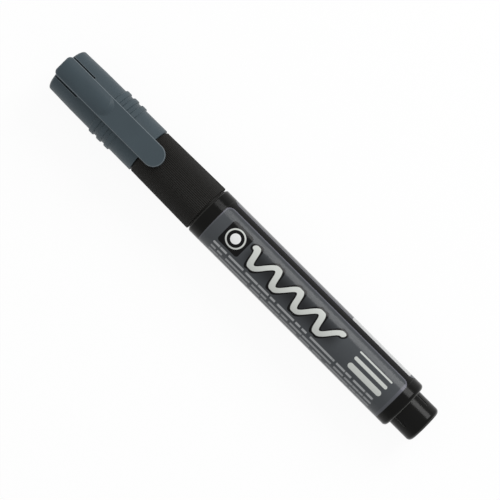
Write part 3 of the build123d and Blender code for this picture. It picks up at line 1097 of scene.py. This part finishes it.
@dataclass
class GripSection:
    """The front holder: fine round ridges to hold it by, a neck under the cap, a spigot in the barrel."""

    node: str = "grip_section"
    spigot_rear: float = 74.51 * MM
    spigot_radius: float = 6.47 * MM
    spigot_bevel: float = 0.4 * MM
    barrel_front: float = 83.01 * MM
    collar_radius: float = 6.6 * MM
    grip_rear: float = 83.46 * MM
    grip_front: float = 105.45 * MM
    rear_radius: float = 7.47 * MM
    front_radius: float = 7.14 * MM
    edge_bevel: float = 0.25 * MM
    round_steps: int = 4
    ridge_count: int = 88
    ridge_depth: float = 0.17 * MM
    ridge_fullness: float = 0.8
    ridge_steps: int = 8
    rim_seat_front: float = 105.75 * MM
    rim_seat_radius: float = 6.29 * MM
    neck_radius: float = 5.7 * MM
    neck_front: float = 113.45 * MM
    neck_bevel: float = 0.35 * MM
    bead_rear: float = 107.95 * MM
    bead_front: float = 108.95 * MM
    bead_height: float = 0.14 * MM
    bead_steps: int = 8
    valve_bore: float = 4.75 * MM
    valve_shoulder: float = 95.01 * MM
    nib_chamber: float = 4.3 * MM
    crease_angle: float = 40.0

    def grip_radius(self, station: float) -> float:
        """The ridges' crest radius at a station."""
        share = (station - self.grip_rear) / (self.grip_front - self.grip_rear)
        return self.rear_radius + share * (self.front_radius - self.rear_radius)

    def grip_rings(self) -> list[Ring]:
        """Lists the stations and radii of the ridged length, which is rounded at both ends.

        Returns:
            The rings, from the rear to the front.
        """
        rear = []
        front = []
        for step in range(self.round_steps + 1):
            turn = math.pi / 2 * step / self.round_steps
            inset = self.edge_bevel * (1 - math.sin(turn))
            drop = self.edge_bevel * (1 - math.cos(turn))
            for rings, station in ((rear, self.grip_rear + inset), (front, self.grip_front - inset)):
                rings.append((station, self.grip_radius(station) - drop))
        return rear[::-1] + front

    def bead_rings(self) -> list[Ring]:
        """Lists the stations and radii of the bead that holds the cap on.

        Returns:
            The rings, from the rear to the front.
        """
        rings = []
        for step in range(self.bead_steps + 1):
            share = step / self.bead_steps
            station = self.bead_rear + share * (self.bead_front - self.bead_rear)
            rings.append((station, self.neck_radius + self.bead_height * math.sin(math.pi * share)))
        return rings

    def outline(self) -> tuple[list[Ring], range]:
        """Lists the turned outline.

        Returns:
            The rings' stations and radii, and the numbers of the ridged ones.
        """
        spigot = [
            (self.spigot_rear, self.valve_bore),
            (self.spigot_rear, self.spigot_radius - self.spigot_bevel),
            (self.spigot_rear + self.spigot_bevel, self.spigot_radius),
            (self.barrel_front, self.spigot_radius),
            (self.barrel_front, self.collar_radius),
            (self.grip_rear, self.collar_radius),
        ]
        grip = self.grip_rings()
        rim_seat = [
            (self.grip_front, self.rim_seat_radius),
            (self.rim_seat_front, self.rim_seat_radius),
            (self.rim_seat_front, self.neck_radius),
        ]
        neck = [
            (self.neck_front - self.neck_bevel, self.neck_radius),
            (self.neck_front, self.neck_radius - self.neck_bevel),
            (self.neck_front, self.nib_chamber),
            (self.valve_shoulder, self.nib_chamber),
            (self.valve_shoulder, self.valve_bore),
        ]
        ridged = range(len(spigot), len(spigot) + len(grip))
        return spigot + grip + rim_seat + self.bead_rings() + neck, ridged

    def build(self) -> bpy.types.Object:
        """Makes the ridged section.

        Returns:
            The section.
        """
        rings, ridged = self.outline()

        def radius_at(number: int, radius: float, angle: float) -> float:
            """Lowers the ridged rings between their crests."""
            crest = abs(math.cos(self.ridge_count * angle / 2)) ** self.ridge_fullness
            return radius - self.ridge_depth * (1 - crest) if number in ridged else radius

        form = turned(rings, self.ridge_count * self.ridge_steps, radius_at)
        soften(form, self.crease_angle)
        section = add_mesh("grip_ridged", form)
        Finish.GRIP.apply(section)
        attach(section, "barrel")
        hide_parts(self.node)
        LOG.info("grip_ridged: %s", Finish.GRIP.value.name)
        return section


@dataclass
class Barrel:
    """The gloss barrel with its label and the post that closes its tail."""

    tube: str = "barrel"
    label: str = "label"
    plug: str = "tail_plug"

    def dress(self) -> None:
        """Gives the barrel, its label and its tail their finishes."""
        dress_nodes(Finish.BARREL, self.tube)
        dress_nodes(Finish.LABEL, self.label)
        dress_nodes(Finish.PLUG, self.plug)


@dataclass
class NibUnit:
    """The fibre nib and the nose that holds it."""

    nib: str = "nib"
    holder: str = "nib_holder"

    def dress(self) -> None:
        """Gives the nib and its nose their finishes."""
        dress_nodes(Finish.NIB, self.nib)
        dress_nodes(Finish.GRIP, self.holder)


@dataclass
class ValveUnit:
    """The valve behind the nib: seat, washer, cage, plunger and the coil that closes it."""

    plastic: tuple[str, ...] = ("valve_seat", "spring_cage", "valve_stem")
    washer: str = "valve_gasket"
    spring: str = "valve_spring"
    turns: int = 7
    wire_radius: float = 0.22 * MM
    wire_sides: int = 12
    turn_steps: int = 32
    end_draw: float = 0.42

    def coil(self) -> bmesh.types.BMesh:
        """Winds the coil, with its first and last turns drawn close.

        Returns:
            The wire's form.
        """
        low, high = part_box(self.spring)
        mean_radius = (high.y - low.y) / 2 - self.wire_radius
        rear = low.x + self.wire_radius
        front = high.x - self.wire_radius
        count = self.turns * self.turn_steps
        form = bmesh.new()
        rings = []
        for step in range(count + 1):
            share = step / count
            drawn = 3 * share**2 - 2 * share**3
            along = rear + (front - rear) * (share + self.end_draw * (drawn - share))
            angle = 2 * math.pi * step / self.turn_steps
            outward = Vector((0, math.cos(angle), math.sin(angle)))
            centre = Vector((along, 0, AXIS_Z)) + mean_radius * outward
            ring = []
            for side in range(self.wire_sides):
                turn = 2 * math.pi * side / self.wire_sides
                offset = outward * math.cos(turn) + Vector((1, 0, 0)) * math.sin(turn)
                ring.append(form.verts.new(centre + self.wire_radius * offset))
            rings.append(ring)
        join_rings(form, list(zip(rings, rings[1:])))
        form.faces.new(rings[0])
        form.faces.new(rings[-1][::-1])
        bmesh.ops.recalc_face_normals(form, faces=form.faces)
        for face in form.faces:
            face.smooth = len(face.verts) < self.wire_sides
        return form

    def build(self) -> bpy.types.Object:
        """Makes the coil and dresses the valve; the real coil shortens as the nib is pressed.

        Returns:
            The coil.
        """
        dress_nodes(Finish.VALVE, *self.plastic)
        dress_nodes(Finish.SEAL, self.washer)
        coil = add_mesh("valve_coil", self.coil())
        Finish.SPRING.apply(coil)
        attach(coil, "barrel")
        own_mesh(coil)
        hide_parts(self.spring)
        LOG.info("valve_coil: %s", Finish.SPRING.value.name)
        return coil


@dataclass
class MixingBall:
    """The loose steel ball that stirs the paint."""

    node: str = "mixing_ball"

    def dress(self) -> None:
        """Gives the ball its finish."""
        dress_nodes(Finish.BALL, self.node)


@dataclass
class Studio:
    """A pale table, soft light from one side with a gentle fill, and the camera over the clip."""

    floor_size: float = 3.0
    floor_cells: int = 8
    floor_colour: Colour = srgb(248, 248, 248)
    floor_glow_share: float = 0.93
    key_angle: float = 53.0
    key_shift: float = -0.068
    key_distance: float = 0.70
    key_length: float = 0.265
    key_width: float = 0.34
    key_radiance: float = 9.0
    zenith_level: float = 0.64
    zenith_from: float = 0.9
    horizon_level: float = 0.72
    camera_height: float = 0.590
    camera_aim: tuple[float, float] = (-1.93 * MM, -0.43 * MM)
    camera_offset: tuple[float, float] = (-30.0 * MM, 11.0 * MM)
    camera_turn: float = 224.99
    camera_near: float = 0.01
    camera_far: float = 10.0
    view_width: float = 135.7 * MM
    sensor_width: float = 36.0

    def lay_floor(self) -> bpy.types.Object:
        """Lays the pale table.

        Returns:
            The table's top.
        """
        form = bmesh.new()
        cells = self.floor_cells
        bmesh.ops.create_grid(form, x_segments=cells, y_segments=cells, size=self.floor_size / 2)
        floor = add_mesh("table_top", form)
        material = bpy.data.materials.new("table_top_paint")
        graph = NodeGraph(material)
        path = graph.add("ShaderNodeLightPath").outputs
        seen = graph.math("ADD", path["Is Camera Ray"], path["Is Glossy Ray"])
        seen = graph.math("ADD", seen, path["Is Transmission Ray"], clamp=True)
        share = graph.math("MULTIPLY", seen, self.floor_glow_share)
        paint = graph.add("ShaderNodeBsdfDiffuse", inputs={"Color": self.floor_colour})
        glow = graph.add("ShaderNodeEmission", inputs={"Color": PURE_WHITE, "Strength": 1.0})
        both = graph.add("ShaderNodeMixShader", inputs={0: share, 1: paint.outputs[0], 2: glow.outputs[0]})
        graph.add("ShaderNodeOutputMaterial", inputs={"Surface": both.outputs[0]})
        floor.data.materials.append(material)
        return floor

    def hang_key(self) -> bpy.types.Object:
        """Hangs the soft light beside the marker.

        Returns:
            The light.
        """
        light = bpy.data.lights.new("key_softbox", "AREA")
        light.shape = "RECTANGLE"
        light.size = self.key_length
        light.size_y = self.key_width
        light.energy = self.key_radiance * math.pi * self.key_length * self.key_width
        lamp = bpy.data.objects.new("key_softbox", light)
        turn = math.radians(self.key_angle)
        away = Vector((0, -math.sin(turn), math.cos(turn)))
        lamp.location = Vector((self.key_shift, 0, AXIS_Z)) + self.key_distance * away
        lamp.rotation_euler = (turn, 0, 0)
        bpy.context.scene.collection.objects.link(lamp)
        return lamp

    def fill_room(self) -> None:
        """Fills the room with a soft light that is a little dimmer overhead."""
        world = bpy.data.worlds.new("studio_room")
        bpy.context.scene.world = world
        graph = NodeGraph(world)
        upward = graph.split(graph.add("ShaderNodeTexCoord").outputs["Generated"])[2]
        level = graph.fade(upward, 0.0, self.zenith_from, self.horizon_level, self.zenith_level)
        room = graph.add("ShaderNodeBackground", inputs={"Color": PURE_WHITE, "Strength": level})
        graph.add("ShaderNodeOutputWorld", inputs={"Surface": room.outputs[0]})

    def set_camera(self) -> bpy.types.Object:
        """Sets the camera over the clip, looking down from a little to one side.

        Returns:
            The camera.
        """
        data = bpy.data.cameras.new("overhead_camera")
        data.sensor_width = self.sensor_width
        aim = Vector((*self.camera_aim, AXIS_Z))
        sight = -Vector((*self.camera_offset, self.camera_height))
        data.lens = self.sensor_width * sight.length / self.view_width
        data.clip_start = self.camera_near
        data.clip_end = self.camera_far
        camera = bpy.data.objects.new("overhead_camera", data)
        lean = Vector((0, 0, -1)).rotation_difference(sight).to_matrix()
        spin = Matrix.Rotation(math.radians(self.camera_turn), 3, "Z")
        camera.location = aim - sight
        camera.rotation_euler = (lean @ spin).to_euler()
        bpy.context.scene.collection.objects.link(camera)
        bpy.context.scene.camera = camera
        return camera

    def set_up(self) -> None:
        """Sets up the table, the light, the camera and the plain view transform."""
        self.lay_floor()
        self.hang_key()
        self.fill_room()
        self.set_camera()
        bpy.context.scene.view_settings.view_transform = "Standard"


def main() -> None:
    """Builds and dresses the marker's sub-assemblies in order, then sets up the studio."""
    logging.basicConfig(level=logging.INFO, format="%(name)s: %(message)s")
    Barrel().dress()
    GripSection().build()
    NibUnit().dress()
    ValveUnit().build()
    MixingBall().dress()
    Cap().dress()
    PocketClip().build()
    Studio().set_up()
    bpy.context.view_layer.update()


if __name__ == "__main__":
    main()
